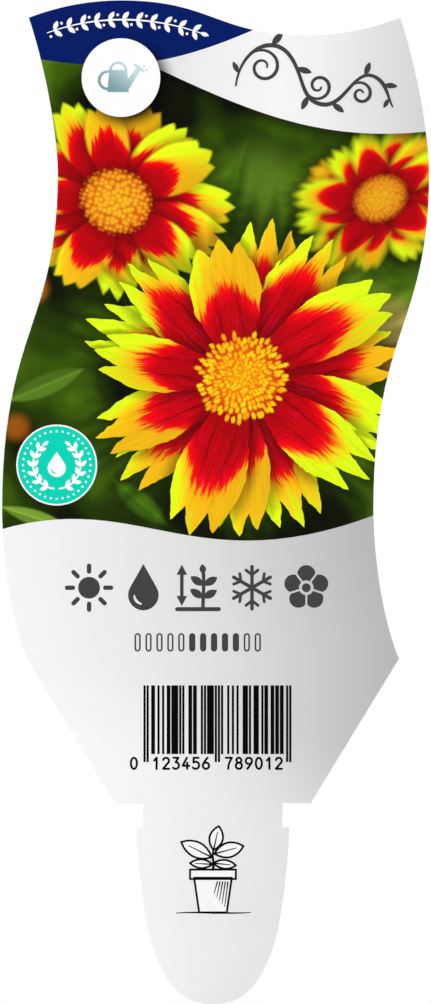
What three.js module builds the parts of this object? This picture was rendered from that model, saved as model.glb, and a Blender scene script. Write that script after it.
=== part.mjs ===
// Stick-in plant label: one die-cut plastic sheet with wavy edges, shoulders, a notched neck and a
// rounded tongue that pushes into the slot of a pot.
//
// Millimetres. X runs across the label, Z is up, and the printed front faces -Y. The origin is on the
// back face, midway across the neck, level with the undersides of the shoulders.

import * as THREE from 'three';

const SHEET_THICKNESS = 0.5;
const CURVE_STEPS = 24;

// The two wavy sides are the same cut, one strip width apart, so labels nest when they are cut.
const STRIP_WIDTH = 63.3;
const TOP_CORNER = [31.9, 133.8];
const SIDE_BULGE = [36.85, 107.5];
const SIDE_WAIST = [27.35, 49.9];
const LOWER_CORNER = [31.7, 24.6];

// The top edge rises to a crest and dips to a trough, each this far from its middle.
const WAVE_REACH = 15.9;
const WAVE_HEIGHT = 2.97;

const SHOULDER_HALF_WIDTH = 16.65;
const NECK_HALF_WIDTH = 11.85;
const EAR_HALF_WIDTH = 13.05;
const NOTCH_HEIGHT = 4.1;

const TONGUE_BEND = [9.95, -25.4];
const TONGUE_TIP = [0, -34.2];

const SHEET_MATERIAL = new THREE.MeshStandardMaterial({
  color: 0xf4f4f4,
  roughness: 0.45,
  metalness: 0,
});

function curvePoints(start, startHandle, endHandle, end) {
  const corners = [start, startHandle, endHandle, end].map(([x, z]) => new THREE.Vector2(x, z));
  return new THREE.CubicBezierCurve(...corners).getPoints(CURVE_STEPS);
}

function moved(points, across, up) {
  return points.map((point) => new THREE.Vector2(point.x + across, point.y + up));
}

function turnedHalfRound(points) {
  return points.map((point) => new THREE.Vector2(-point.x, -point.y)).reverse();
}

function mirrored(points) {
  return points.map((point) => new THREE.Vector2(-point.x, point.y)).reverse();
}

// The top edge about its own middle, from left to right. Its right end is its left end turned
// half round.
function topWave() {
  const crest = [-WAVE_REACH, WAVE_HEIGHT];
  const trough = [WAVE_REACH, -WAVE_HEIGHT];
  const rise = curvePoints([-STRIP_WIDTH / 2, 0], [-27.55, 1.6], [-22.1, WAVE_HEIGHT], crest);
  const fall = curvePoints(crest, [-0.35, WAVE_HEIGHT], [0.35, -WAVE_HEIGHT], trough);
  return [...rise, ...fall, ...turnedHalfRound(rise)];
}

// The right side, from the top corner down to the lower corner.
function sideWave() {
  const [bulgeX, bulgeZ] = SIDE_BULGE;
  const [waistX, waistZ] = SIDE_WAIST;
  return [
    ...curvePoints(TOP_CORNER, [35.6, 122.6], [bulgeX, bulgeZ + 3.8], SIDE_BULGE),
    ...curvePoints(SIDE_BULGE, [bulgeX, bulgeZ - 26.5], [waistX, waistZ + 31.1], SIDE_WAIST),
    ...curvePoints(SIDE_WAIST, [waistX, waistZ - 3.4], [27.9, 33.9], LOWER_CORNER),
  ];
}

// The right half of the foot, from the shoulder down to the tongue's tip. The notch between the
// shoulder and the ear takes the edge of a pot's slot.
function rightFoot() {
  const ear = [EAR_HALF_WIDTH, -NOTCH_HEIGHT];
  return [
    new THREE.Vector2(SHOULDER_HALF_WIDTH, 0),
    new THREE.Vector2(NECK_HALF_WIDTH, 0),
    new THREE.Vector2(NECK_HALF_WIDTH, -NOTCH_HEIGHT),
    ...curvePoints(ear, [12.7, -12.3], [11.35, -22.0], TONGUE_BEND),
    ...curvePoints(TONGUE_BEND, [8.25, -29.6], [6.2, TONGUE_TIP[1]], TONGUE_TIP),
  ];
}

function withoutRepeats(points) {
  const isNew = (point, i) => i === 0 || point.distanceTo(points[i - 1]) > 1e-6;
  return points.filter(isNew);
}

function labelOutline() {
  const rightSide = sideWave();
  const leftSide = moved(rightSide, -STRIP_WIDTH, 0).reverse();
  const top = moved(topWave(), TOP_CORNER[0] - STRIP_WIDTH / 2, TOP_CORNER[1]);
  const foot = rightFoot();
  const points = withoutRepeats([...top, ...rightSide, ...foot, ...mirrored(foot), ...leftSide]);
  points.pop();
  return new THREE.Shape(points);
}

function labelSheet() {
  const geometry = new THREE.ExtrudeGeometry(labelOutline(), {
    depth: SHEET_THICKNESS,
    bevelEnabled: false,
  });
  geometry.rotateX(Math.PI / 2);
  const sheet = new THREE.Mesh(geometry, SHEET_MATERIAL);
  sheet.name = 'label_sheet';
  return sheet;
}

const label = new THREE.Group();
label.add(labelSheet());

export default label;
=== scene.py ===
"""Looks of a stick-in plant label: one die-cut plastic sheet, with everything else printed on its front.

Each print is a closed film about a fiftieth of a millimetre thick. Flat shapes are lists of (x, z)
points in millimetres, seen from the front, and materials work in millimetres too. Meshes, lights and the
camera are in metres.
"""

from itertools import groupby
from math import acos, atan2, cos, hypot, pi, radians, sin, tau

import bpy
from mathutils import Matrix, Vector
from mathutils.geometry import delaunay_2d_cdt


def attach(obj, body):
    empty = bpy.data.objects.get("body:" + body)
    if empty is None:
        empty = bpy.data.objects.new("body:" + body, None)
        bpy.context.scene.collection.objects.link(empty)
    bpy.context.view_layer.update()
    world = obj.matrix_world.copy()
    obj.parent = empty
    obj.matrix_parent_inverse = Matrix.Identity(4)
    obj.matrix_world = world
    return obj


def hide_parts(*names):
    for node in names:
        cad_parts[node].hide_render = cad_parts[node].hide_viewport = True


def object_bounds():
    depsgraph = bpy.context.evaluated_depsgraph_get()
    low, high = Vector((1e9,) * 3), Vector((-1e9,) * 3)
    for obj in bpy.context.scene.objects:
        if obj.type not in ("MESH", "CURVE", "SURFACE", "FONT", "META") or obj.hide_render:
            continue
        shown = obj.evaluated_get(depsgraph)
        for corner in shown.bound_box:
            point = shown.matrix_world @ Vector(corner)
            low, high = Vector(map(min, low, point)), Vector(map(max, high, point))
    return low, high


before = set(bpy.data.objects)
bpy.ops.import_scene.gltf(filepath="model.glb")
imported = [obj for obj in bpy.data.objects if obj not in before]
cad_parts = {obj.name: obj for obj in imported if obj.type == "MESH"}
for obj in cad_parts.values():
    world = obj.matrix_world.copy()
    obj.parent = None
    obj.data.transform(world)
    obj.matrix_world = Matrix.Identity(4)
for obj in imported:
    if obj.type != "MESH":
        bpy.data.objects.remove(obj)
cad_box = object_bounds()
scene = bpy.context.scene

MM = 0.001

# ---- The sheet and its layers of print

SHEET_NODE = "label_sheet"
SHEET_THICKNESS = 0.5
EDGE_EASE = 0.04
EASE_STEPS = 3

# Each layer of print stands a step proud of the one below, and its films reach half a step into that.
LAYER_STEP = 0.012
FILM_THICKNESS = 1.5 * LAYER_STEP

BASE_LAYER = 1
PRINT_LAYER = 2
PATCH_LAYER = 3
MARK_LAYER = 4
FINE_LAYER = 5

# ---- Boundaries between the prints: curves of four points, which run on past the label's edge

NAVY_EDGE = ((-31.5, 127.1), (-16.65, 124.27), (-6.97, 125.52), (8.0, 132.2))
SWOOSH_EDGE = ((-9.8, 125.3), (7.81, 116.97), (19.4, 112.45), (37.6, 114.5))
PICTURE_FOOT = ((-36.6, 46.5), (-12.0, 53.78), (-3.3, 37.1), (28.4, 49.4))
EDGE_STEPS = 28
LEFT_OF_ALL, RIGHT_OF_ALL, BELOW_ALL, ABOVE_ALL = -45.0, 45.0, -50.0, 142.0

# ---- The round patches

DISC_STEPS = 72
DISC_CENTRE = (-15.67, 123.57)
DISC_RADIUS = 6.7
SHADOW_OFFSET = 0.9
SHADOW_SPREAD = 0.4
SHADOW_SOFTNESS = 1.85

BADGE_CENTRE = (-26.6, 57.6)
BADGE_RADIUS = 6.9
BADGE_RIM = 0.27

# ---- Ink colours, as sRGB numbers of 0 to 255

SHEET_WHITE = (245, 245, 244)
SHEET_SHADE = (240, 240, 239)
PURE_WHITE = (254, 254, 254)
PATCH_WHITE = (249, 249, 249)
NAVY = (0, 26, 101)
TEAL = (4, 213, 184)
DARK_GREY = (65, 65, 65)
BLACK = (3, 3, 3)
SILVER_DARK = (122, 158, 164)
SILVER_PALE = (196, 221, 224)

# Greys of the base print, left to right: (millimetres across, grey)
SWOOSH_GREYS = ((-9, 226), (-2, 238), (11, 246), (18, 241), (36, 212))
PANEL_GREYS = ((-42, 251), (-28, 243), (-12, 234), (4, 221), (18, 203), (31, 184))

# The heights, behind the picture, between which the panel's greys give way to the swoosh's
SWOOSH_STARTS = (80.0, 92.0)


# ---- Numbers and colours in node trees


def linear(colour):
    """An sRGB colour as the linear one that a shader takes."""
    shares = [channel / 255 for channel in colour]
    return [s / 12.92 if s <= 0.04045 else ((s + 0.055) / 1.055) ** 2.4 for s in shares] + [1.0]


class Value:
    """A number or colour in a node tree. Sums of values add Math nodes to their tree."""

    def __init__(self, socket):
        self.socket = socket

    def __abs__(self):
        return maths("ABSOLUTE", self)


# The signs + - * / between two values, or a value and a plain number
for sign, operation in (("add", "ADD"), ("sub", "SUBTRACT"), ("mul", "MULTIPLY"), ("truediv", "DIVIDE")):
    setattr(Value, f"__{sign}__", lambda a, b, operation=operation: maths(operation, a, b))
    setattr(Value, f"__r{sign}__", lambda a, b, operation=operation: maths(operation, b, a))


def new_node(kind, *values):
    """A node in the tree that the first of the values belongs to."""
    tree = next(value.socket.id_data for value in values if isinstance(value, Value))
    return tree.nodes.new(kind)


def feed(socket, value):
    """Links a value to a socket, or sets the socket to a plain number or colour."""
    if isinstance(value, Value):
        socket.id_data.links.new(value.socket, socket)
    else:
        socket.default_value = value


def feed_all(sockets, values):
    for socket, value in zip(sockets, values):
        feed(socket, value)


def maths(operation, *values):
    node = new_node("ShaderNodeMath", *values)
    node.operation = operation
    feed_all(node.inputs, values)
    return Value(node.outputs["Value"])


def smooth_step(low, high, value):
    """0 below low and 1 above high, or the other way round where low is the larger."""
    node = new_node("ShaderNodeMapRange", low, high, value)
    node.interpolation_type = "SMOOTHSTEP"
    feed_all(node.inputs, (value, low, high))
    return Value(node.outputs["Result"])


# A Mix node's sockets for each kind of value: the amount with the two values, and the result
MIX_SOCKETS = {"FLOAT": ((0, 2, 3), 0), "RGBA": ((0, 6, 7), 2)}


def mix(kind, amount, first, second, clamped=True):
    node = new_node("ShaderNodeMix", amount, first, second)
    node.data_type = kind
    node.clamp_factor = clamped
    given, result = MIX_SOCKETS[kind]
    feed_all([node.inputs[i] for i in given], (amount, first, second))
    return Value(node.outputs[result])


def between(share, first, second):
    """The number a share of the way from the first to the second."""
    return mix("FLOAT", share, first, second)


def cover(amount, below, above):
    """The colour below under the colour above, which covers it by an amount of 0 to 1."""
    return mix("RGBA", amount, below, above)


def scaled(colour, factor):
    """A colour made darker, or lighter by a factor over 1."""
    return mix("RGBA", 1 - factor, colour, linear((0, 0, 0)), clamped=False)


def colour_ramp(value, stops, smooth=False):
    """The colour at a value, from stops of (value, sRGB colour) with values of 0 to 1."""
    node = new_node("ShaderNodeValToRGB", value)
    ramp = node.color_ramp
    ramp.interpolation = "EASE" if smooth else "LINEAR"
    while len(ramp.elements) < len(stops):
        ramp.elements.new(1.0)
    for element, (position, colour) in zip(ramp.elements, stops):
        element.position = position
        element.color = linear(colour)
    feed(node.inputs["Fac"], value)
    return Value(node.outputs["Color"])


def grey_ramp(x, greys):
    """The grey at x, from pairs of (millimetres across, grey)."""
    first, last = greys[0][0], greys[-1][0]
    stops = [((at - first) / (last - first), (grey, grey, grey)) for at, grey in greys]
    return colour_ramp((x - first) / (last - first), stops)


def parts_of(vector):
    """A vector's three numbers."""
    node = new_node("ShaderNodeSeparateXYZ", vector)
    feed(node.inputs["Vector"], vector)
    return [Value(part) for part in node.outputs]


def texture(kind, x, z, **settings):
    """A texture node at x and z."""
    where = new_node("ShaderNodeCombineXYZ", x, z)
    feed_all(where.inputs, (x, z))
    node = new_node(kind, x, z)
    feed(node.inputs["Vector"], Value(where.outputs["Vector"]))
    for name, number in settings.items():
        node.inputs[name].default_value = number
    return node


def noise(x, z, scale, detail=2.0):
    """Smooth noise of about 0 to 1, with scale in features per millimetre."""
    node = texture("ShaderNodeTexNoise", x, z, Scale=scale, Detail=detail)
    node.noise_dimensions = "2D"
    return Value(node.outputs[0])


def nearest_dot(x, z):
    """In a field of scattered dots, one for each unit square: how far off the nearest is, and its place."""
    node = texture("ShaderNodeTexVoronoi", x, z, Scale=1.0, Randomness=0.72)
    node.voronoi_dimensions = "2D"
    dot_x, dot_z, _ = parts_of(Value(node.outputs["Position"]))
    return Value(node.outputs["Distance"]), dot_x, dot_z


def chance(number, salt):
    """A scattered number of 0 to 1, the same for the same whole number and salt."""
    return maths("FRACT", maths("SINE", number * 12.99 + salt * 78.23) * 437.6)


def squared(value):
    return value * value


def distance(x, z):
    """How far a spot is from the origin."""
    return maths("SQRT", squared(x) + squared(z))


def spot(x, z, centre, radius, softness):
    """1 inside a soft-edged disc and 0 outside."""
    away = distance(x - centre[0], z - centre[1])
    return smooth_step(radius + softness, radius - softness, away)


def height_of(curve, x):
    """The height of a boundary curve at x."""
    points = bezier(*curve, steps=10)
    low = min(z for _, z in points)
    high = max(z for _, z in points)
    left, right = points[0][0], points[-1][0]
    places = [((px - left) / (right - left), (pz - low) / (high - low)) for px, pz in points]
    share = (x - left) / (right - left)
    node = new_node("ShaderNodeFloatCurve", share)
    bends = node.mapping.curves[0].points
    for at in places[1:-1]:
        bends.new(*at)
    for bend, at in zip(bends, places):
        bend.location = at
    node.mapping.update()
    feed(node.inputs["Value"], share)
    return Value(node.outputs["Value"]) * (high - low) + low


# ---- Flat shapes


def shares_of(steps):
    """Even shares from 0 to 1."""
    return [step / steps for step in range(steps + 1)]


def turns(count, first=0.0):
    """Angles that are evenly spaced over a whole turn."""
    return [tau * i / count + first for i in range(count)]


def bezier(*corners, steps=16):
    """A curve from its start, two handles and its end."""
    points = []
    for t in shares_of(steps):
        weights = ((1 - t) ** 3, 3 * t * (1 - t) ** 2, 3 * t * t * (1 - t), t ** 3)
        points.append(tuple(sum(w * c[axis] for w, c in zip(weights, corners)) for axis in (0, 1)))
    return points


def path(start, *curves):
    """One line from a start through several curves, each two handles and an end."""
    points = [start]
    for curve in curves:
        points += bezier(points[-1], *curve)[1:]
    return points


def polar(centre, radius, angle):
    return (centre[0] + radius * cos(angle), centre[1] + radius * sin(angle))


def arc(centre, radius, start, end, steps=24):
    return [polar(centre, radius, start + (end - start) * step / steps) for step in range(steps + 1)]


def circle(centre, radius, steps=48):
    return arc(centre, radius, 0, tau * (1 - 1 / steps), steps - 1)


def closed(points):
    """A loop as a line that ends where it starts."""
    return points + points[:1]


def box(left, right, bottom, top):
    return [(left, bottom), (right, bottom), (right, top), (left, top)]


def above(edge, left, right):
    """What lies above a boundary curve whose ends run on level to two upright lines."""
    return [(left, edge[0][1])] + edge + [(right, edge[-1][1]), (right, ABOVE_ALL), (left, ABOVE_ALL)]


def leaf(base, tip, width):
    """A pointed oval from base to tip."""
    along = Vector(tip) - Vector(base)
    across = Vector((-along.y, along.x)).normalized() * width / 2
    bulges = [(s, sin(pi * s) ** 0.8 if 0 < s < 1 else 0.0) for s in shares_of(8)]
    right, left = (
        [tuple(Vector(base) + along * s + across * w * side) for s, w in bulges] for side in (-1, 1)
    )
    return right + left[-2:0:-1]


def drop(centre, radius, height):
    """A water drop, round about its centre, with its point straight above."""
    peak = height - radius
    touch = acos(radius / peak)
    return arc(centre, radius, pi / 2 + touch, 2.5 * pi - touch, 20) + [(centre[0], centre[1] + peak)]


def moved(points, to, scale=1.0, turn=0.0):
    c, s = cos(turn) * scale, sin(turn) * scale
    return [(to[0] + x * c - z * s, to[1] + x * s + z * c) for x, z in points]


def neighbours(items, share):
    """The two items around a share of the way through a list, and how far from one to the other it is."""
    at = share * (len(items) - 1)
    step = min(int(at), len(items) - 2)
    return items[step], items[step + 1], at - step


def stroke(points, *widths):
    """Loops for a round-ended line along the points, whose width runs evenly through the widths given."""
    if len(widths) == 1:
        widths *= 2
    sides = []
    last = len(points) - 1
    for i, (x, z) in enumerate(points):
        before, after = points[max(i - 1, 0)], points[min(i + 1, last)]
        dx, dz = after[0] - before[0], after[1] - before[1]
        first, second, way = neighbours(widths, i / last)
        half = (first + way * (second - first)) / 2 / hypot(dx, dz)
        sides.append(((x - dz * half, z + dx * half), (x + dz * half, z - dx * half)))
    quads = [[a[1], b[1], b[0], a[0]] for a, b in zip(sides, sides[1:])]
    return quads + [circle(points[0], widths[0] / 2, 14), circle(points[-1], widths[-1] / 2, 14)]


def line(start, end, *widths):
    return stroke([start, end], *widths)


def point_on(points, share):
    """A point a share of the way along a line of points, with the line's direction there as an angle."""
    (x0, z0), (x1, z1), way = neighbours(points, share)
    return (x0 + way * (x1 - x0), z0 + way * (z1 - z0)), atan2(z1 - z0, x1 - x0)


def leaf_on(points, share, lean, length, width):
    """A leaf that grows from a line of points, leaning from the line's direction by an angle."""
    base, heading = point_on(points, share)
    return leaf(base, polar(base, length, heading + lean), width)


def inked(*loops):
    """Marks that are printed, for film."""
    return [(True, loop) for loop in loops]


def bare(*loops):
    """Marks that are left out of the print, for film."""
    return [(False, loop) for loop in loops]


# ---- Meshes

ONLY_INSIDE = 1
TOUCHING = 1e-5


def triangles_of(loops):
    """The loops' area as triangles: the corners, and each triangle with the numbers of its loops."""
    points, faces = [], []
    for loop in loops:
        faces.append(list(range(len(points), len(points) + len(loop))))
        points += [Vector(point) for point in loop]
    corners, _, found, _, _, sources = delaunay_2d_cdt(points, [], faces, ONLY_INSIDE, TOUCHING)
    return corners, list(zip(found, sources))


def open_edges(faces):
    """The directed edges that only one face has."""
    edges = {(a, b) for face in faces for a, b in zip(face, face[1:] + face[:1])}
    return [(a, b) for a, b in edges if (b, a) not in edges]


def new_object(name, data):
    """An object in the scene."""
    thing = bpy.data.objects.new(name, data)
    scene.collection.objects.link(thing)
    return thing


def new_piece(name, corners, faces, material, slot):
    """A mesh object from corners in millimetres, with no corner that isn't used."""
    used = sorted({corner for face in faces for corner in face})
    place_of = {corner: i for i, corner in enumerate(used)}
    mesh = bpy.data.meshes.new(name)
    points = [[coordinate * MM for coordinate in corners[corner]] for corner in used]
    mesh.from_pydata(points, [], [[place_of[corner] for corner in face] for face in faces])
    mesh.materials.append(material)
    piece = new_object(name, mesh)
    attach(piece, "root")
    return piece


def plate(corners, front, front_y, back_y):
    """Corners and faces of a closed plate with the given front triangles."""
    count = len(corners)
    deep = [(x, front_y, z) for x, z in corners] + [(x, back_y, z) for x, z in corners]
    back = [[corner + count for corner in reversed(face)] for face in front]
    rim = [[b, a, a + count, b + count] for a, b in sorted(open_edges(front))]
    return deep, front + back + rim


def film(name, layer, material, slot, marks):
    """A film of ink on the label's front. The last mark on a spot says whether it's inked or bare."""
    corners, triangles = triangles_of([front_outline] + [loop for _, loop in marks])
    front = []
    for face, sources in triangles:
        top = max(sources)
        if 0 in sources and top > 0 and marks[top - 1][0]:
            front.append(face)
    front_y = -SHEET_THICKNESS - layer * LAYER_STEP
    return new_piece(name, *plate(corners, front, front_y, front_y + FILM_THICKNESS), material, slot)


MAP_MARGIN = 0.005
MITRE_LIMIT = 0.3


def map_for_baking(piece, spare_corner, back_scale):
    """Lays the front over the whole bake map, with the hidden back small in a corner it leaves free."""
    mesh = piece.data
    xs = [vertex.co.x for vertex in mesh.vertices]
    zs = [vertex.co.z for vertex in mesh.vertices]
    left, bottom = min(xs), min(zs)
    side = max(max(xs) - left, max(zs) - bottom)
    overhang = 0.3 * MM / side
    uv = mesh.uv_layers.new(name="OFBake")
    for face in mesh.polygons:
        for loop_index in face.loop_indices:
            corner = mesh.vertices[mesh.loops[loop_index].vertex_index].co
            u, v = (corner.x - left) / side, (corner.z - bottom) / side
            if face.normal.y > 0.5:
                u = spare_corner[0] + u * back_scale
                v = spare_corner[1] + v * back_scale
            elif face.normal.y > -0.5 and corner.y > face.center.y:
                u += face.normal.x * overhang
                v += face.normal.z * overhang
            uv.data[loop_index].uv = [MAP_MARGIN + (1 - 2 * MAP_MARGIN) * share for share in (u, v)]


def sheet_outline():
    """The outline of the CAD sheet's front, counterclockwise as seen from the front."""
    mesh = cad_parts[SHEET_NODE].data
    points = [(round(vertex.co.x / MM, 4), round(vertex.co.z / MM, 4)) for vertex in mesh.vertices]
    faces = [[points[i] for i in face.vertices] for face in mesh.polygons if face.normal.y < -0.5]
    following = dict(open_edges(faces))
    loop = faces[0][:1]
    while following[loop[-1]] != loop[0]:
        loop.append(following[loop[-1]])
    return loop


def inset(loop, by):
    """A counterclockwise loop moved inwards by a distance."""
    moved_in = []
    for before, here, after in zip(loop[-1:] + loop[:-1], loop, loop[1:] + loop[:1]):
        first = Vector((here[0] - before[0], here[1] - before[1])).normalized()
        second = Vector((after[0] - here[0], after[1] - here[1])).normalized()
        inward = Vector((-first.y - second.y, first.x + second.x)).normalized()
        reach = by / max(inward.dot(Vector((-first.y, first.x))), MITRE_LIMIT)
        moved_in.append((here[0] + inward.x * reach, here[1] + inward.y * reach))
    return moved_in


def sheet_piece(outline, material):
    """The plastic sheet, with eased edges all round."""
    angles = [share * pi / 2 for share in shares_of(EASE_STEPS)]
    front_rings = [(EDGE_EASE * (1 - sin(angle)), EDGE_EASE * (1 - cos(angle))) for angle in angles]
    back_rings = [(inwards, SHEET_THICKNESS - depth) for inwards, depth in reversed(front_rings)]
    rings = front_rings + back_rings
    corners, faces = [], []
    count = len(outline)
    for inwards, depth in rings:
        corners += [(x, depth - SHEET_THICKNESS, z) for x, z in inset(outline, inwards)]
    for ring in range(len(rings) - 1):
        for i in range(count):
            a = ring * count + i
            b = ring * count + (i + 1) % count
            faces.append([b, a, a + count, b + count])
    cap = [list(face) for face, _ in triangles_of([inset(outline, EDGE_EASE)])[1]]
    last_ring = len(corners) - count
    faces += cap
    faces += [[corner + last_ring for corner in reversed(face)] for face in cap]
    return new_piece("sheet", corners, faces, material, "sheet")


# ---- Materials

MOTTLE = 0.06
GLOSS_SWING = 0.06
GRAIN_DEPTH = 0.02
INK_GRAIN = 0.2
INK_SPECULAR = 0.12


def print_material(name, paint, roughness, grain=INK_GRAIN, specular=INK_SPECULAR):
    """A surface with a fine grain, in the colour that a painter gives at x and z."""
    material = bpy.data.materials.new(name)
    material.use_nodes = True
    tree = material.node_tree
    shader = tree.nodes["Principled BSDF"]
    shader.inputs["Specular IOR Level"].default_value = specular
    x, _, z = parts_of(Value(tree.nodes.new("ShaderNodeTexCoord").outputs["Object"]))
    x, z = x / MM, z / MM
    smears = noise(x, z, 0.09, detail=3.0)
    feed(shader.inputs["Roughness"], between(smears, roughness - GLOSS_SWING, roughness + GLOSS_SWING))
    bump = tree.nodes.new("ShaderNodeBump")
    bump.inputs["Strength"].default_value = grain
    bump.inputs["Distance"].default_value = GRAIN_DEPTH * MM
    feed(bump.inputs["Height"], noise(x, z, 2.6, detail=3.0))
    feed(shader.inputs["Normal"], Value(bump.outputs["Normal"]))
    feed(shader.inputs["Base Color"], paint(x, z))
    return material


def mottled(colour, x, z):
    """An ink with the faint mottle of a printed solid."""
    return scaled(linear(colour), between(noise(x, z, 0.7, detail=3.0), 1 - MOTTLE, 1 + MOTTLE))


def plain_ink(name, colour, roughness=0.38, specular=INK_SPECULAR):
    """The material of one ink."""
    return print_material(name, lambda x, z: mottled(colour, x, z), roughness, specular=specular)


def cloudy_white(x, z):
    """White plastic with faint clouds, as in a calendered sheet."""
    return colour_ramp(noise(x, z, 0.045, detail=4.0), ((0.3, SHEET_SHADE), (0.7, SHEET_WHITE)))


def disc_shadow(x, z):
    """How far the white disc's printed drop shadow dims a spot, as a factor."""
    centre = (DISC_CENTRE[0] + SHADOW_OFFSET, DISC_CENTRE[1] - SHADOW_OFFSET)
    return 1 - spot(x, z, centre, DISC_RADIUS + SHADOW_SPREAD, SHADOW_SOFTNESS)


def panel_greys(x, z):
    """The panel's greys, darker to the right. They lie a little further left just under the picture, and
    far to the right below a slant across the bar code, more so at the tip."""
    under_picture = 4.5 * smooth_step(22.0, 46.0, z)
    below_slant = 17.5 * smooth_step(22.0, -4.0, z + 0.45 * maths("MAXIMUM", x, -14.0))
    at_tip = 7.0 * smooth_step(-16.0, -34.0, z)
    return grey_ramp(x + under_picture - below_slant - at_tip, PANEL_GREYS)


def base_greys(x, z):
    """The pale grey under everything else: the panel, and the swoosh with the disc's shadow."""
    panel = panel_greys(x, z)
    swoosh = scaled(grey_ramp(x, SWOOSH_GREYS), disc_shadow(x, z))
    return cover(smooth_step(*SWOOSH_STARTS, z), panel, swoosh)


def shaded_navy(x, z):
    """The band's navy, with the disc's shadow."""
    return scaled(mottled(NAVY, x, z), disc_shadow(x, z))


def silver(x, z):
    """Silver with a teal cast, which darkens to the lower left."""
    rise = ((x - DISC_CENTRE[0]) * 0.7 + (z - DISC_CENTRE[1])) / 7 + 0.5
    return colour_ramp(rise, ((0.0, SILVER_DARK), (1.0, SILVER_PALE)), smooth=True)


# ---- The picture: painted flowers on blurred green

LAYERS = 3
RAYS_A_LAYER = 5
LIGHT_ANGLE = radians(125)
LAYER_SHADE = 0.55
FLOWER_SHADE = 0.55
DISC_SHARE = 0.285
FLORET_SHARE = 0.027

RAY_COLOURS = (
    (0.0, (186, 0, 12)), (0.20, (212, 0, 14)), (0.40, (238, 0, 18)), (0.50, (248, 38, 4)),
    (0.58, (251, 108, 10)), (0.68, (252, 176, 16)), (0.80, (250, 222, 20)), (1.0, (224, 252, 24)),
)
GOLD = (251, 182, 20)
MAGENTA = (178, 0, 96)
HEART_GOLD = (253, 192, 34)
HEART_SHADE = (218, 92, 10)
FLORETS = ((0.0, (250, 152, 8)), (0.5, (254, 188, 10)), (1.0, (255, 218, 16)))
FLORET_GAPS = ((0.0, (250, 148, 10)), (0.5, (240, 104, 8)), (0.85, (206, 40, 6)), (1.0, (150, 10, 6)))
FLORET_GLINT = (255, 238, 40)


def ray_layer(angle, radius, layer, reach, seed, ripple, toothed=1.0):
    """One layer of a flower's rays. For a spot it says how far inside a ray's outline that is, in mm, how
    far along and across the ray, which ray, and how far from the ray's line in angle."""
    slots = angle * (RAYS_A_LAYER / tau) + layer / LAYERS
    slot = maths("ROUND", slots)
    ray = maths("FLOORED_MODULO", slot, float(RAYS_A_LAYER)) + (seed * 31.0 + layer * 7.0)
    off_axis = (slots - slot - between(chance(ray, 0.1), -0.08, 0.08)) * (tau / RAYS_A_LAYER)
    along = radius * maths("COSINE", off_axis) / (reach * between(chance(ray, 0.2), 0.88, 1.04))
    half_width = reach * between(chance(ray, 0.3), 0.17, 0.215)
    bend = squared(along) * between(chance(ray, 0.4), -0.06, 0.06) + ripple
    share = (radius * maths("SINE", off_axis) + reach * bend) / half_width

    belly = 0.3 + 0.7 * smooth_step(0.0, 0.62, along)
    taper = 1 - 0.42 * smooth_step(0.66, 1.06, along)
    side_room = half_width * (belly * taper - abs(share))
    tooth = maths("PINGPONG", abs(share + 0.04) * between(chance(ray, 0.5), 2.7, 3.3), 1.0)
    notch = between(chance(ray, 0.6), 0.1 * toothed, 0.22 * toothed) * maths("POWER", tooth, 1.25)
    tip_room = (1 - 0.12 * squared(share) - notch - along) * reach * 0.75
    return maths("MINIMUM", side_room, tip_room), along, share, ray, off_axis


def ray_colour(along, share, ray, shady, streaks, fine=0.0, blur=0.0):
    """A ray's colour: red from the centre, then a frayed edge to gold, which pales to lemon at the tip.
    Some rays are more golden than others, and each is more so on its shady side."""
    flame = between(chance(ray, 0.7), 0.62, 0.76) - 0.3 * squared(share) + (streaks * 0.22 + fine * 0.14)
    warmth = (along - flame) / (0.27 + blur * 0.03) + 0.5
    colour = colour_ramp(warmth, RAY_COLOURS)
    gilding = chance(ray, 0.8) * 0.8 + shady * 0.45 + streaks * 0.35 - (warmth - 0.8) * 0.34
    golden = smooth_step(0.0, 0.6, gilding) * smooth_step(0.5, 0.8, warmth)
    return cover(golden * 0.9, colour, linear(GOLD)), warmth


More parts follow.
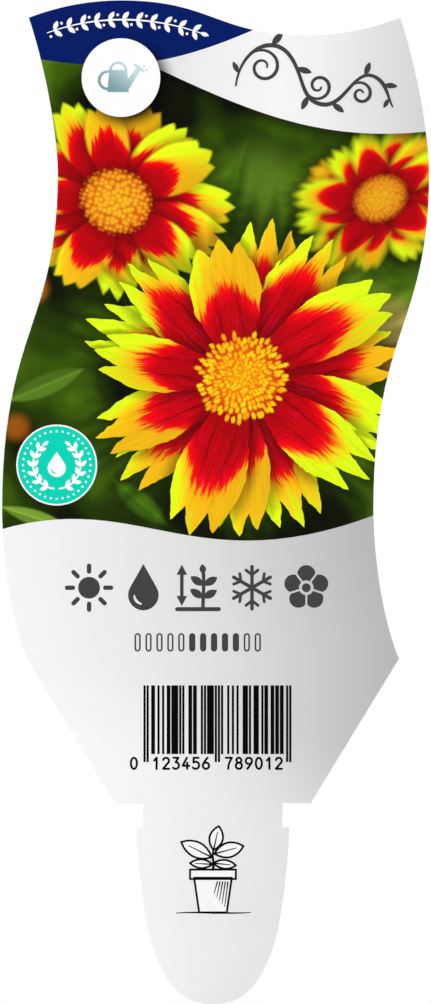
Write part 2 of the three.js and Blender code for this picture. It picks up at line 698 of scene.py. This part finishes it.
def sharp_bloom(x, z, reach, turn, seed):
    """A flower in focus: its colour, how much it covers, and how much it shades what is behind it."""
    radius = distance(x, z)
    bearing = maths("ARCTAN2", z, x)
    angle = maths("WRAP", bearing + turn, pi, -pi)
    ripple = (noise(bearing * 7.0, radius * 0.4, 1.0) - 0.5) * 0.03
    room, along, share, ray, off_axis = ray_layer(angle, radius, 0, reach, seed, ripple)
    dark = 0.0
    widest = room
    for layer in range(1, LAYERS):
        upper = ray_layer(angle, radius, layer, reach, seed, ripple)
        inside = maths("GREATER_THAN", upper[0], 0.0)
        near = smooth_step(-0.1 * reach, 0.0, upper[0])
        dark = between(inside, maths("MAXIMUM", near, dark), 0.0)
        pairs = zip((along, share, ray, off_axis), upper[1:])
        along, share, ray, off_axis = (between(inside, lower, higher) for lower, higher in pairs)
        widest = maths("MAXIMUM", widest, upper[0])

    across = share * reach * 0.19
    streaks = noise(across * 1.5 + ray * 9.0, along * 1.6, 1.0, detail=3.0) - 0.5
    fine = noise(across * 5.0 + ray * 5.0, along * 4.0, 1.0) - 0.5
    shady = share * maths("SINE", angle - off_axis - turn - LIGHT_ANGLE)
    colour, warmth = ray_colour(along, share, ray, shady, streaks, fine)
    red = smooth_step(0.5, 0.25, warmth)
    colour = cover(smooth_step(0.12, 0.3, fine) * red * 0.35, colour, linear(MAGENTA))
    vein = smooth_step(0.10, 0.0, abs(abs(share) - 0.3)) * smooth_step(0.9, 0.5, along)
    relief = 1 - vein * 0.35 - shady * 0.12 + streaks * 0.3 + fine * between(red, 0.3, 1.3)
    glow = between(smooth_step(0.12, 0.5, along), 0.62, 1.0) * between(red * chance(ray, 0.9), 1.0, 1.3)
    colour = scaled(colour, relief * glow * (1 - LAYER_SHADE * dark))

    florets_colour, florets = floret_disc(x, z, radius, reach, seed)
    shade = smooth_step(-0.2 * reach, 0.0, widest)
    covered = maths("MAXIMUM", smooth_step(-0.05, 0.05, widest), florets)
    return cover(florets, colour, florets_colour), covered, shade


def soft_bloom(x, z, reach, turn, seed, blur):
    """A flower out of focus, as sharp_bloom, with soft edges and no fine detail."""
    radius = distance(x, z)
    angle = maths("WRAP", maths("ARCTAN2", z, x) + turn, pi, -pi)
    toothed = 0.8 - 0.5 * blur
    for layer in range(LAYERS):
        room, along, share, ray, off_axis = ray_layer(angle, radius, layer, reach, seed, 0.0, toothed)
        shady = share * maths("SINE", angle - off_axis - turn - LIGHT_ANGLE)
        streaks = (noise(share * 6.0 + ray * 9.0, along * 1.6, 1.0) - 0.5) * (1 - blur)
        layer_colour, _ = ray_colour(along, share, ray, shady, streaks * 1.5, blur=blur)
        light = (1 - shady * 0.2 + streaks * 0.3) * between(smooth_step(0.12, 0.5, along), 0.58, 1.0)
        layer_colour = scaled(layer_colour, light)
        over = smooth_step(0 - blur, blur, room)
        if layer == 0:
            colour, covered, widest = layer_colour, over, room
            continue
        near = smooth_step(-0.12 * reach, 0.0, room)
        colour = cover(over, scaled(colour, 1 - 0.4 * near), layer_colour)
        covered = maths("MAXIMUM", over, covered)
        widest = maths("MAXIMUM", widest, room)
    share = radius / reach
    away = between(blur * 0.75, nearest_dot(x * 22.0 / reach, z * 22.0 / reach)[0], 0.35)
    heart = smooth_step(0.30 + 0.05 * blur, 0.26 - 0.03 * blur, share + (away - 0.35) * 0.07)
    halo = smooth_step(0.42, 0.24, share)
    grain = smooth_step(0.85, 0.15, away + squared(share) * 3.4)
    heart_colour = cover(grain, linear(HEART_SHADE), linear(HEART_GOLD))
    colour = cover(heart, scaled(colour, 1 - 0.4 * halo), heart_colour)
    return colour, maths("MAXIMUM", covered, heart), smooth_step(-0.2 * reach, 0.0, widest)


def floret_disc(x, z, radius, reach, seed):
    """A flower's centre: its colour, and 1 where florets or the dark between them cover the rays."""
    disc = reach * DISC_SHARE
    share = radius / disc
    size = reach * FLORET_SHARE
    closeness = 1 / ((0.62 + 0.5 * share) * size)
    away, cell_x, cell_z = nearest_dot(x * closeness + seed, z * closeness)
    away = away + maths("SINE", x * 11.0) * maths("SINE", z * 9.0) * 0.08
    cell_x = cell_x - seed
    cell_radius = distance(cell_x, cell_z) * size
    cell_share = cell_radius * 0.62 / (disc - cell_radius * 0.5)
    member = maths("LESS_THAN", cell_share, 0.97)
    tone = chance(maths("FLOOR", cell_x * 37.0) + maths("FLOOR", cell_z * 53.0), 0.5)
    colour = cover(smooth_step(0.58, 0.3, away), colour_ramp(share, FLORET_GAPS), colour_ramp(tone, FLORETS))
    colour = cover(smooth_step(0.24, 0.05, away) * 0.35, colour, linear(FLORET_GLINT))
    covered = maths("MAXIMUM", smooth_step(0.86, 0.78, share), member * smooth_step(0.6, 0.5, away))
    return colour, covered


def bloom_group(paint, *number_names):
    """A node group around a function that paints one flower from numbers."""
    group = bpy.data.node_groups.new(paint.__name__, "ShaderNodeTree")
    for name in number_names:
        group.interface.new_socket(name, in_out="INPUT", socket_type="NodeSocketFloat")
    for name, kind in (("colour", "Color"), ("cover", "Float"), ("shade", "Float")):
        group.interface.new_socket(name, in_out="OUTPUT", socket_type="NodeSocket" + kind)
    given = group.nodes.new("NodeGroupInput")
    painted = paint(*(Value(given.outputs[name]) for name in number_names))
    feed_all(group.nodes.new("NodeGroupOutput").inputs, painted)
    return group


def with_flower(below, group, x, z, centre, lean, flatness, light, *numbers):
    """The picture with a flower over it, which faces away a little: it's flattened across its lean."""
    dx, dz = x - centre[0], z - centre[1]
    across, up = dx * cos(lean) + dz * sin(lean), (dz * cos(lean) - dx * sin(lean)) / flatness
    node = new_node("ShaderNodeGroup", x)
    node.node_tree = group
    feed_all(node.inputs, (across, up, *numbers))
    colour, covered, shade = (Value(output) for output in node.outputs)
    return cover(covered, scaled(below, 1 - FLOWER_SHADE * shade), scaled(colour, light))


def with_leaf(below, x, z, base, tip, width, softness, tint):
    """The picture with a soft pointed leaf over it, which has a pale midrib and one darker half."""
    length = hypot(tip[0] - base[0], tip[1] - base[1])
    across_x, across_z = (base[1] - tip[1]) / length, (tip[0] - base[0]) / length
    dx, dz = x - (base[0] + tip[0]) / 2, z - (base[1] + tip[1]) / 2
    along = (dx * across_z - dz * across_x) / (length / 2)
    across = (dx * across_x + dz * across_z) / (width / 2)
    room = (1 - squared(along) - abs(across)) * (width / 2)
    half = smooth_step(-0.12, 0.12, across)
    rib = smooth_step(0.12 + 0.4 * softness, 0.02, abs(across)) * (0.5 - 0.4 * softness)
    colour = scaled(linear(tint), 0.72 + 0.28 * half + rib)
    return cover(smooth_step(-softness, softness, room), below, colour)


GREENS = (
    (0.30, (12, 18, 0)), (0.42, (34, 54, 0)), (0.52, (58, 88, 2)),
    (0.62, (84, 122, 10)), (0.74, (126, 166, 40)),
)

# Blurred flowers and lights in the distance: centre, radius, softness, colour, how much it covers
SOFT_SPOTS = (
    ((-31.0, 88.0), 2.6, 1.3, (214, 124, 20), 0.85),
    ((-33.5, 64.0), 2.0, 1.2, (178, 96, 16), 0.7),
    ((30.5, 82.0), 3.4, 1.8, (214, 186, 100), 0.7),
    ((31.5, 75.0), 2.4, 1.6, (214, 130, 36), 0.7),
    ((8.0, 106.0), 5.5, 4.0, (110, 150, 40), 0.5),
)

# Leaves behind the flowers: base, tip, width, softness, colour
SOFT_LEAVES = (
    ((-17.0, 55.0), (-8.0, 47.5), 3.4, 0.7, (70, 112, 14)),
    ((-22.0, 74.0), (-35.0, 68.5), 3.6, 0.35, (88, 124, 30)),
    ((-36.0, 50.5), (-24.0, 46.5), 2.6, 0.3, (122, 158, 48)),
    ((2.0, 98.0), (5.5, 112.0), 3.0, 0.9, (66, 104, 12)),
)

# Flowers, the farthest first: centre, lean, flatness, light, reach, turn, seed, and how blurred it is
SOFT_FLOWERS = (
    ((28.5, 103.0), 0.5, 0.8, 0.9, 15.5, 0.4, 3.0, 0.9),
    ((-16.5, 102.5), -0.3, 0.9, 1.0, 20.5, 0.9, 2.0, 0.35),
)
SHARP_FLOWER = ((5.0, 72.5), 0.35, 0.95, 1.0, 28.5, 0.2, 1.0)


def flower_picture(x, z):
    """The whole picture, from the blurred green in the distance to the flower in focus."""
    colour = colour_ramp(noise(x + 40, z, 0.055, detail=1.5), GREENS, smooth=True)
    for centre, radius, softness, tint, strength in SOFT_SPOTS:
        colour = cover(spot(x, z, centre, radius, softness) * strength, colour, linear(tint))
    for leaf_form in SOFT_LEAVES:
        colour = with_leaf(colour, x, z, *leaf_form)
    soft = bloom_group(soft_bloom, "x", "z", "reach", "turn", "seed", "blur")
    for flower in SOFT_FLOWERS:
        colour = with_flower(colour, soft, x, z, *flower)
    sharp = bloom_group(sharp_bloom, "x", "z", "reach", "turn", "seed")
    colour = with_flower(colour, sharp, x, z, *SHARP_FLOWER)
    under_swoosh = smooth_step(-0.2, 2.6, height_of(SWOOSH_EDGE, x) - z)
    return scaled(colour, between(under_swoosh, 0.25, 1.0) * disc_shadow(x, z))


# ---- Putting the label together

outline = sheet_outline()
front_outline = inset(outline, EDGE_EASE)

sheet = sheet_piece(outline, print_material("sheet_plastic", cloudy_white, 0.5, grain=0.5, specular=0.4))
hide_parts(SHEET_NODE)

everywhere = box(LEFT_OF_ALL, RIGHT_OF_ALL, BELOW_ALL, ABOVE_ALL)
base_ink = print_material("base_print", base_greys, 0.4, grain=0.3)
base_print = film("base_print", BASE_LAYER, base_ink, "grey_print", inked(everywhere))
map_for_baking(base_print, (0.0, 0.0), 0.08)

navy_edge = bezier(*NAVY_EDGE, steps=EDGE_STEPS)
swoosh_edge = bezier(*SWOOSH_EDGE, steps=EDGE_STEPS)
foot_edge = bezier(*PICTURE_FOOT, steps=EDGE_STEPS)
navy_area = above(navy_edge, LEFT_OF_ALL, navy_edge[-1][0] + 0.1)
swoosh_area = above(swoosh_edge, swoosh_edge[0][0] - 0.1, RIGHT_OF_ALL)
picture_area = above(foot_edge, LEFT_OF_ALL, RIGHT_OF_ALL)

navy_ink = print_material("navy_ink", shaded_navy, 0.36)
film("navy_band", PRINT_LAYER, navy_ink, "navy_print", inked(navy_area))
picture_ink = print_material("picture_ink", flower_picture, 0.36)
picture_marks = inked(picture_area) + bare(swoosh_area, navy_area)
picture = film("flower_picture", PRINT_LAYER, picture_ink, "picture_print", picture_marks)
map_for_baking(picture, (0.80, 0.93), 0.06)

white_ink = plain_ink("white_ink", PURE_WHITE)
teal_ink = plain_ink("teal_ink", TEAL)
dark_ink = plain_ink("dark_ink", DARK_GREY, roughness=0.5)
black_ink = plain_ink("black_ink", BLACK, roughness=0.5, specular=0.05)
patch_ink = plain_ink("patch_ink", PATCH_WHITE)


# ---- The white disc, with a watering can


def watering_can():
    """A watering can about its own middle, 8 mm wide, with its spout to the right."""
    body = [(-2.1, -2.9), (1.9, -2.9), (1.6, 1.2), (-1.7, 1.2)]
    spout = [(1.2, -2.2), (2.0, -2.2), (4.1, 1.3), (3.5, 1.7), (1.5, -0.7)]
    rose = line((3.1, 2.1), (4.6, 1.0), 0.5)
    hoop = stroke(arc((-0.05, 1.1), 1.45, 0, pi, 20), 0.45)
    handle = stroke(arc((-2.0, -0.7), 1.6, radians(75), radians(262), 20), 0.5)
    drops = [circle((4.7 + 0.55 * i, 1.9 - 0.75 * i), 0.2, 14) for i in range(2)]
    return [body, spout] + rose + hoop + handle + drops


disc = circle(DISC_CENTRE, DISC_RADIUS, DISC_STEPS)
film("white_disc", PATCH_LAYER, white_ink, "white_print", inked(disc))
can_place = (DISC_CENTRE[0] - 0.4, DISC_CENTRE[1] + 0.2)
can = [moved(loop, can_place, 0.92) for loop in watering_can()]
silver_ink = print_material("silver_ink", silver, 0.38)
film("can_pictogram", MARK_LAYER, silver_ink, "teal_print", inked(*can))


# ---- The garland on the navy band


def garland():
    """A twig with pairs of small leaves, and a berry behind each pair, now on one side and now the other."""
    twig = bezier((-28.2, 131.2), (-20.0, 134.2), (-11.0, 134.2), (-2.2, 131.2), steps=40)
    marks = stroke(twig, 0.15, 0.3, 0.15)
    pairs = 11
    for i in range(pairs):
        share = (i + 0.5) / pairs
        marks += [leaf_on(twig, share, side * radians(52), 1.75, 0.8) for side in (-1, 1)]
        node, heading = point_on(twig, share)
        side = 1 if i % 2 else -1
        marks.append(circle(polar(node, 1.15, heading + side * radians(135)), 0.24, 12))
    return marks + [leaf_on(twig, 1.0, 0.0, 1.6, 0.7)]


film("garland", MARK_LAYER, white_ink, "white_print", inked(*garland()))


# ---- The vine on the pale swoosh


def curl_on(points, share, turn, size):
    """A tendril that leaves a line of points along its direction and winds in, to the left or the right."""
    base, heading = point_on(points, share)
    aside = pi / 2 if turn > 0 else -pi / 2
    middle = polar(base, size, heading + aside)
    inwards = 0.2 * size - size
    return [polar(middle, size + inwards * s, heading - aside + turn * s) for s in shares_of(30)]


def vine():
    """A brushed vine, with tendrils in its bends and leaves outside them."""
    stem = path(
        (3.9, 122.2),
        ((4.6, 128.6), (10.6, 131.4), (13.4, 126.9)),
        ((15.6, 123.4), (15.0, 119.6), (18.6, 119.0)),
        ((22.4, 118.4), (24.0, 125.2), (27.4, 123.8)),
        ((29.6, 122.8), (29.6, 120.6), (30.6, 118.6)),
    )
    tendrils = ((0.09, -500, 3.1), (0.40, 490, 2.4), (0.64, -470, 2.1))
    leaves = (
        (0.03, 42, 2.2), (0.17, 48, 2.9), (0.29, 50, 2.7), (0.42, -58, 2.6),
        (0.54, -60, 2.6), (0.71, 55, 2.5), (0.84, 52, 2.4), (0.94, -50, 1.9),
    )
    marks = stroke(stem, 0.3, 0.75, 0.55, 0.75, 0.5, 0.7, 0.25)
    for share, turn, size in tendrils:
        marks += stroke(curl_on(stem, share, radians(turn), size), 0.4, 0.6, 0.5, 0.3)
    for share, lean, length in leaves:
        marks.append(leaf_on(stem, share, radians(lean), length, 0.4 * length))
    return marks


film("vine", MARK_LAYER, dark_ink, "dark_print", inked(*vine()))


# ---- The round badge


def badge_marks():
    """A drop in a wreath of two leafy twigs, in a circle of dots."""
    marks = [circle(polar(BADGE_CENTRE, 5.75, angle), 0.2, 12) for angle in turns(36)]
    for side in (-1, 1):
        twig = arc(BADGE_CENTRE, 4.05, -pi / 2 + side * 0.12, -pi / 2 + side * 2.5, 40)
        marks += stroke(twig, 0.3, 0.22)
        for i in range(6):
            share = (i + 0.7) / 6.4
            marks += [leaf_on(twig, share, lean * radians(40), 1.5, 0.68) for lean in (-1, 1)]
        marks.append(leaf_on(twig, 1.0, 0.0, 1.3, 0.6))
    middle = (BADGE_CENTRE[0], BADGE_CENTRE[1] - 0.5)
    glint = stroke(arc(middle, 0.95, radians(190), radians(262), 12), 0.12, 0.28, 0.12)
    return inked(*marks, drop(middle, 1.55, 4.3)) + bare(*glint)


badge_rim = circle(BADGE_CENTRE, BADGE_RADIUS, DISC_STEPS)
badge = circle(BADGE_CENTRE, BADGE_RADIUS - BADGE_RIM, DISC_STEPS)
film("badge_rim", PATCH_LAYER, white_ink, "white_print", inked(badge_rim))
film("badge", MARK_LAYER, teal_ink, "teal_print", inked(badge))
film("badge_marks", FINE_LAYER, white_ink, "white_print", badge_marks())


# ---- The care pictograms and the flowering calendar

PICTOGRAM_ROW = 36.7
PICTOGRAM_MIDDLE = -2.6
PICTOGRAM_STEP = 9.25


def spoke(inner, outer, angle, width):
    """A line that runs straight out from a pictogram's middle."""
    return line(polar((0, 0), inner, angle), polar((0, 0), outer, angle), width)


def sun():
    rays = [loop for angle in turns(8) for loop in spoke(2.75, 3.75, angle, 0.75)]
    return inked(circle((0, 0), 1.85), *rays)


def water():
    glint = stroke(arc((0, -1.25), 1.55, radians(185), radians(255), 14), 0.3, 0.5, 0.3)
    return inked(drop((0, -1.25), 2.6, 7.9)) + bare(*glint)


def plant_height():
    """A plant with two pairs of leaves, beside an arrow that runs from the ground to its top."""
    stem = bezier((0.9, -3.6), (0.9, -1.0), (1.2, 1.0), (0.9, 2.9), steps=10)
    leaves = [leaf_on(stem, 0.9, 0.0, 1.7, 1.1)]
    for share in (0.25, 0.58):
        leaves += [leaf_on(stem, share, side * radians(58), 2.7, 1.35) for side in (-1, 1)]
    ground = line((-3.5, -3.65), (3.6, -3.65), 0.7)
    shaft = line((-2.7, -2.0), (-2.7, 2.6), 0.6)
    heads = [[(-3.6, 2.2), (-1.8, 2.2), (-2.7, 3.95)], [(-1.8, -1.4), (-3.6, -1.4), (-2.7, -3.1)]]
    return inked(*stroke(stem, 0.6), *leaves, *ground, *shaft, *heads)


def snowflake():
    marks = []
    for angle in turns(6, pi / 2):
        marks += spoke(0.0, 3.6, angle, 0.6)
        fork = polar((0, 0), 2.2, angle)
        for side in (-1, 1):
            marks += line(fork, polar(fork, 1.3, angle + side * radians(52)), 0.5)
    return inked(*marks)


def blossom():
    """Five petals with slits between them, round a bare ring and a dot."""
    petals, slits = [], []
    for angle in turns(5, pi / 2):
        petals.append(circle(polar((0, 0), 2.3, angle), 1.55, 28))
        slits += spoke(1.0, 3.0, angle + tau / 10, 0.34)
    ring = bare(*slits, circle((0, 0), 1.25))
    return inked(*petals, circle((0, 0), 1.6)) + ring + inked(circle((0, 0), 0.75))


def care_row():
    marks = []
    for i, pictogram in enumerate((sun, water, plant_height, snowflake, blossom)):
        to = (PICTOGRAM_MIDDLE + (i - 2) * PICTOGRAM_STEP, PICTOGRAM_ROW)
        marks += [(ink, moved(loop, to)) for ink, loop in pictogram()]
    return marks


MONTH_STEP = 1.86
MONTH_WIDTH = 1.06
MONTH_RIM = 0.28
MONTH_FOOT, MONTH_TOP = 26.35, 28.45
FLOWERING_MONTHS = range(6, 11)


def calendar_row():
    """Twelve months as upright pills, with the flowering months filled."""
    marks = []
    for month in range(1, 13):
        x = PICTOGRAM_MIDDLE + (month - 6.5) * MONTH_STEP
        ends = (x, MONTH_FOOT), (x, MONTH_TOP)
        marks += inked(*line(*ends, MONTH_WIDTH))
        if month not in FLOWERING_MONTHS:
            marks += bare(*line(*ends, MONTH_WIDTH - 2 * MONTH_RIM))
    return marks


film("care_pictograms", PRINT_LAYER, dark_ink, "dark_print", care_row())
film("calendar", PRINT_LAYER, dark_ink, "dark_print", calendar_row())


# ---- The bar code, of a made-up number

CODE_NUMBER = "0123456789012"
DIGIT_CODES = "0001101 0011001 0010011 0111101 0100011 0110001 0101111 0111011 0110111 0001011".split()
MODULE = 0.264
INK_GAIN = 0.06
CODE_LEFT = -11.78
BAR_TOP, BAR_FOOT, GUARD_FOOT = 20.07, 8.37, 7.01

# The guards and the halves' middles, in modules
GUARDS = ((0, 3), (45, 50), (92, 95))
HALF_MIDDLES = (24, 71)


def code_modules():
    """The code's 95 modules, with 1 for black. Its first digit is 0, so the others need no parity."""
    left = "".join(DIGIT_CODES[int(digit)] for digit in CODE_NUMBER[1:7])
    right = "".join(DIGIT_CODES[int(digit)] for digit in CODE_NUMBER[7:])
    return "101" + left + "01010" + right.translate(str.maketrans("01", "10")) + "101"


def bars():
    """One loop for each bar, a little wider than its modules, because ink spreads. Guards reach lower."""
    loops = []
    start = 0
    for module, run in groupby(code_modules()):
        end = start + len(list(run))
        if module == "1":
            is_guard = any(first <= start < last for first, last in GUARDS)
            left = CODE_LEFT + start * MODULE - INK_GAIN
            right = CODE_LEFT + end * MODULE + INK_GAIN
            loops.append(box(left, right, GUARD_FOOT if is_guard else BAR_FOOT, BAR_TOP))
        start = end
    return loops


film("bar_code", PRINT_LAYER, black_ink, "black_print", inked(*bars()))

DIGIT_HEIGHT = 1.88
DIGIT_PITCH = 1.7
DIGIT_FOOT = 5.86
DIGIT_PEN = 0.37
FIRST_DIGIT = -13.46


def digit_lines(digit):
    """The lines of a digit, from the middle of its foot."""
    top = DIGIT_HEIGHT
    six = [
        closed(circle((0.0, 0.53), 0.53, 32)),
        bezier((0.26, top), (0.0, 1.55), (-0.32, 1.15), (-0.47, 0.78), steps=8),
    ]
    shapes = {
        "0": [closed([(0.51 * cos(turn), top / 2 + top / 2 * sin(turn)) for turn in turns(36)])],
        "1": [[(-0.32, 1.42), (0.1, top)], [(0.1, top), (0.1, 0.0)]],
        "2": [arc((0.0, 1.38), 0.5, radians(165), radians(-38)) + [(-0.5, 0.0)], [(-0.5, 0.0), (0.52, 0.0)]],
        "3": [
            [(-0.45, top), (0.4, top)],
            [(0.4, top), (-0.06, 1.13)],
            arc((-0.06, 0.565), 0.565, radians(90), radians(-140)),
        ],
        "4": [[(0.15, top), (-0.55, 0.52)], [(-0.55, 0.52), (0.56, 0.52)], [(0.2, 1.05), (0.2, 0.0)]],
        "5": [
            [(0.42, top), (-0.38, top)],
            [(-0.38, top), (-0.42, 1.08)],
            arc((-0.06, 0.6), 0.6, radians(125), radians(-140)),
        ],
        "6": six,
        "7": [[(-0.5, top), (0.5, top)], bezier((0.5, top), (0.25, 1.4), (-0.1, 0.9), (-0.12, 0.0), steps=8)],
        "8": [closed(circle((0.0, 0.52), 0.52, 32)), closed(circle((0.0, 1.46), 0.42, 28))],
        "9": [moved(points, (0.0, top), turn=pi) for points in six],
    }
    return shapes[digit]


def code_digits():
    """The number under the bars: one digit by itself, then six under each half."""
    across = [FIRST_DIGIT]
    for middle in HALF_MIDDLES:
        across += [CODE_LEFT + middle * MODULE + (i - 2.5) * DIGIT_PITCH for i in range(6)]
    loops = []
    for digit, x in zip(CODE_NUMBER, across):
        for points in digit_lines(digit):
            loops += stroke(moved(points, (x, DIGIT_FOOT)), DIGIT_PEN)
    return loops


film("code_digits", PRINT_LAYER, black_ink, "black_print", inked(*code_digits()))


# ---- The pot on the tongue, drawn in fine lines on a pale patch

POT_BODY = [(-3.2, -12.7), (-2.35, -18.6), (2.35, -18.6), (3.2, -12.7)]
POT_RIM = box(-3.9, 3.9, -12.9, -11.3)
POT_PEN = 0.34

# The sprout's leaves: base, tip, width
SPROUT_LEAVES = (
    ((-0.2, -9.2), (-5.4, -6.6), 2.6),
    ((0.25, -8.6), (5.2, -7.3), 2.5),
    ((0.1, -8.0), (1.0, -3.9), 2.3),
    ((-0.1, -10.4), (-3.9, -10.2), 1.5),
    ((0.1, -10.2), (3.9, -10.6), 1.5),
)


def pot_drawing():
    """The pot with strokes of shade on its right side, the sprout with its leaves' midribs, and the
    ground."""
    marks = []
    for loop in (POT_BODY, POT_RIM):
        for start, end in zip(loop, loop[1:] + loop[:1]):
            marks += line(start, end, POT_PEN)
    stem = bezier((0.0, -11.3), (0.3, -10.0), (-0.3, -9.0), (0.1, -8.0), steps=8)
    marks += stroke(stem, 0.45, 0.3)
    for base, tip, width in SPROUT_LEAVES:
        edge = closed(leaf(base, tip, width))
        at_tip = len(edge) // 2
        marks += stroke(edge[:at_tip + 1], POT_PEN) + stroke(edge[at_tip:], POT_PEN)
        marks += line(base, tuple(Vector(base).lerp(Vector(tip), 0.75)), 0.28, 0.14)
    for i in range(5):
        x = 2.2 - i * 0.45
        marks += line((x + 0.35, -13.4), (x - 0.2, -17.6 + 0.55 * i), 0.24, 0.12)
    ground = bezier((-6.2, -18.7), (-3.0, -18.4), (3.0, -18.9), (6.4, -18.6), steps=8)
    return marks + stroke(ground, 0.14, 0.36, 0.14)


leaf_patches = [leaf(*shoot) for shoot in SPROUT_LEAVES]
film("pot_patch", PRINT_LAYER, patch_ink, "white_print", inked(POT_BODY, POT_RIM, *leaf_patches))
film("pot_drawing", PATCH_LAYER, black_ink, "black_print", inked(*pot_drawing()))


# ---- Floor, light and camera

FRAME_HEIGHT = 170.98 * MM
FRAME_CENTRE = Vector((0.434 * MM, 0.0, 51.3 * MM))
FLOOR_REACH = 4.0
FLOOR_GREY = (182, 182, 182)


def floor():
    """A wide, pale floor under the tip of the tongue."""
    low, _ = cad_box
    mesh = bpy.data.meshes.new("floor")
    square = box(-FLOOR_REACH, FLOOR_REACH, -FLOOR_REACH, FLOOR_REACH)
    mesh.from_pydata([(x, y, low.z) for x, y in square], [], [(0, 1, 2, 3)])
    material = bpy.data.materials.new("pale_floor")
    material.use_nodes = True
    shader = material.node_tree.nodes["Principled BSDF"]
    shader.inputs["Base Color"].default_value = linear(FLOOR_GREY)
    shader.inputs["Roughness"].default_value = 0.9
    mesh.materials.append(material)
    new_object("floor", mesh)


def area_light(name, at, size, watts):
    """A square lamp that faces the label's middle."""
    light = bpy.data.lights.new(name, "AREA")
    light.size = size
    light.energy = watts
    lamp = new_object(name, light)
    lamp.location = at
    lamp.rotation_euler = (FRAME_CENTRE - Vector(at)).to_track_quat("-Z", "Y").to_euler()


def overhead_sun(strength):
    """Light from straight above, which evens out the floor and leaves upright faces as they are."""
    light = bpy.data.lights.new("overhead", "SUN")
    light.energy = strength
    light.angle = radians(12)
    new_object("overhead", light)


def pale_world():
    """White behind everything, but only a dim light from all round."""
    world = bpy.data.worlds.new("pale")
    world.use_nodes = True
    tree = world.node_tree
    background = tree.nodes["Background"]
    background.inputs["Color"].default_value = (1, 1, 1, 1)
    seen = tree.nodes.new("ShaderNodeLightPath")
    feed(background.inputs["Strength"], between(Value(seen.outputs["Is Camera Ray"]), 0.12, 1.0))
    scene.world = world


floor()
pale_world()
overhead_sun(1.5)
area_light("left", (-1.55, -0.85, 0.35), 0.9, 23.9)
area_light("right", (1.55, -0.85, 0.35), 0.9, 23.9)
area_light("top", (0.0, 0.3, 1.6), 1.0, 8)
area_light("behind", (-0.55, 0.8, 0.5), 0.6, 7.2)

camera_data = bpy.data.cameras.new("camera")
camera_data.type = "ORTHO"
camera_data.ortho_scale = FRAME_HEIGHT
camera = new_object("camera", camera_data)
camera.location = FRAME_CENTRE + Vector((0, -1.0, 0))
camera.rotation_euler = (radians(90), 0, 0)
scene.camera = camera
scene.view_settings.view_transform = "Standard"
